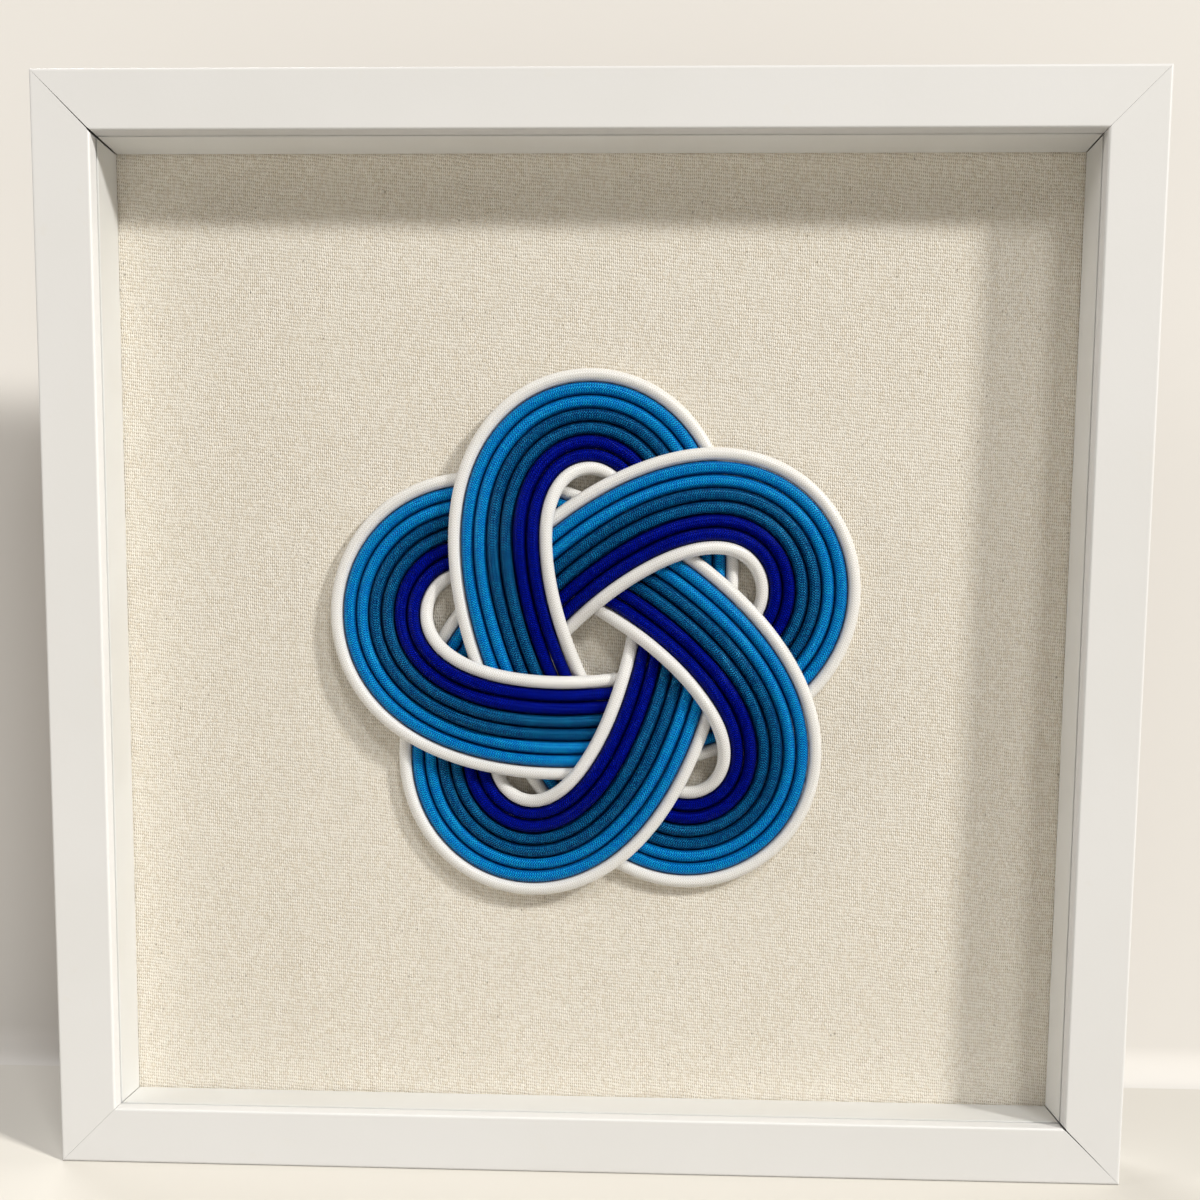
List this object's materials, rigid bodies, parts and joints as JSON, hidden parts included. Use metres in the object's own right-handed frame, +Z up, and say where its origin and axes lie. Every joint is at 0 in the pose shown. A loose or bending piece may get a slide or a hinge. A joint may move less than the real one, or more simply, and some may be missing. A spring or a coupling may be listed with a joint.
{
  "type": "knot shadow box",
  "caption": "Square mitred shadow-box frame with a clear pane, holding a flat rosette knot of braided cords on linen, closed at the back by turn buttons.",
  "frame": {"origin": "middle of the footprint on the surface that the box stands on", "axes": "+Z up; the front with the knot faces -Y; +X to the right seen from the front"},
  "size_m": [0.32, 0.0316, 0.32],
  "materials": {
    "frame_paint": "satin warm-white paint on timber",
    "spacer_white": "matt white paint on timber strip",
    "clear_acrylic": "clear cast acrylic, polished",
    "linen": "plain-woven natural linen with slubs and flecks",
    "card": "grey mount board",
    "fibreboard": "brown hardboard",
    "zinc_plate": "bright zinc plate",
    "bright_steel": "bright steel",
    "felt": "dense grey felt",
    "cord_white": "braided nylon, warm white",
    "cord_navy": "braided nylon, royal navy",
    "cord_petrol": "braided nylon, petrol blue",
    "cord_azure": "braided nylon, azure blue"
  },
  "bodies": {
    "frame": {"frame_rail_bottom": "frame_paint", "spacer_bottom": "spacer_white", "frame_rail_left": "frame_paint", "spacer_left": "spacer_white", "frame_rail_top": "frame_paint", "spacer_top": "spacer_white", "frame_rail_right": "frame_paint", "spacer_right": "spacer_white", "mitre_wedge_lower_left": "bright_steel", "mitre_wedge_upper_left": "bright_steel", "mitre_wedge_upper_right": "bright_steel", "mitre_wedge_lower_right": "bright_steel", "clear_pane": "clear_acrylic", "linen_facing": "linen", "mount_board": "card", "back_panel": "fibreboard", "turn_button_screw_left_upper": "bright_steel", "turn_button_screw_left_lower": "bright_steel", "turn_button_screw_right_upper": "bright_steel", "turn_button_screw_right_lower": "bright_steel", "turn_button_screw_top": "bright_steel", "turn_button_screw_bottom": "bright_steel", "sawtooth_hanger": "zinc_plate", "hanger_nail_left": "bright_steel", "hanger_nail_right": "bright_steel", "wall_bumper_left": "felt", "wall_bumper_right": "felt", "knot_cord_white_inner": "cord_white", "knot_cord_navy_inner": "cord_navy", "knot_cord_navy_outer": "cord_navy", "knot_cord_petrol_inner": "cord_petrol", "knot_cord_petrol_outer": "cord_petrol", "knot_cord_azure_inner": "cord_azure", "knot_cord_azure_outer": "cord_azure", "knot_cord_white_outer": "cord_white"},
    "button_left_upper": {"turn_button_left_upper": "zinc_plate"},
    "button_left_lower": {"turn_button_left_lower": "zinc_plate"},
    "button_right_upper": {"turn_button_right_upper": "zinc_plate"},
    "button_right_lower": {"turn_button_right_lower": "zinc_plate"},
    "button_top": {"turn_button_top": "zinc_plate"},
    "button_bottom": {"turn_button_bottom": "zinc_plate"}
  },
  "joints": [
    {"name": "button_left_upper_turn", "type": "hinge", "parent": "frame", "child": "button_left_upper", "pos_m": [-0.15625, 0.01252, 0.25], "axis": [0, 1, 0], "range_deg": [-90, 90]},
    {"name": "button_left_lower_turn", "type": "hinge", "parent": "frame", "child": "button_left_lower", "pos_m": [-0.15625, 0.01252, 0.07], "axis": [0, 1, 0], "range_deg": [-90, 90]},
    {"name": "button_right_upper_turn", "type": "hinge", "parent": "frame", "child": "button_right_upper", "pos_m": [0.15625, 0.01252, 0.25], "axis": [0, 1, 0], "range_deg": [-90, 90]},
    {"name": "button_right_lower_turn", "type": "hinge", "parent": "frame", "child": "button_right_lower", "pos_m": [0.15625, 0.01252, 0.07], "axis": [0, 1, 0], "range_deg": [-90, 90]},
    {"name": "button_top_turn", "type": "hinge", "parent": "frame", "child": "button_top", "pos_m": [0, 0.01252, 0.31625], "axis": [0, 1, 0], "range_deg": [-90, 90]},
    {"name": "button_bottom_turn", "type": "hinge", "parent": "frame", "child": "button_bottom", "pos_m": [0, 0.01252, 0.00375], "axis": [0, 1, 0], "range_deg": [-90, 90]}
  ]
}
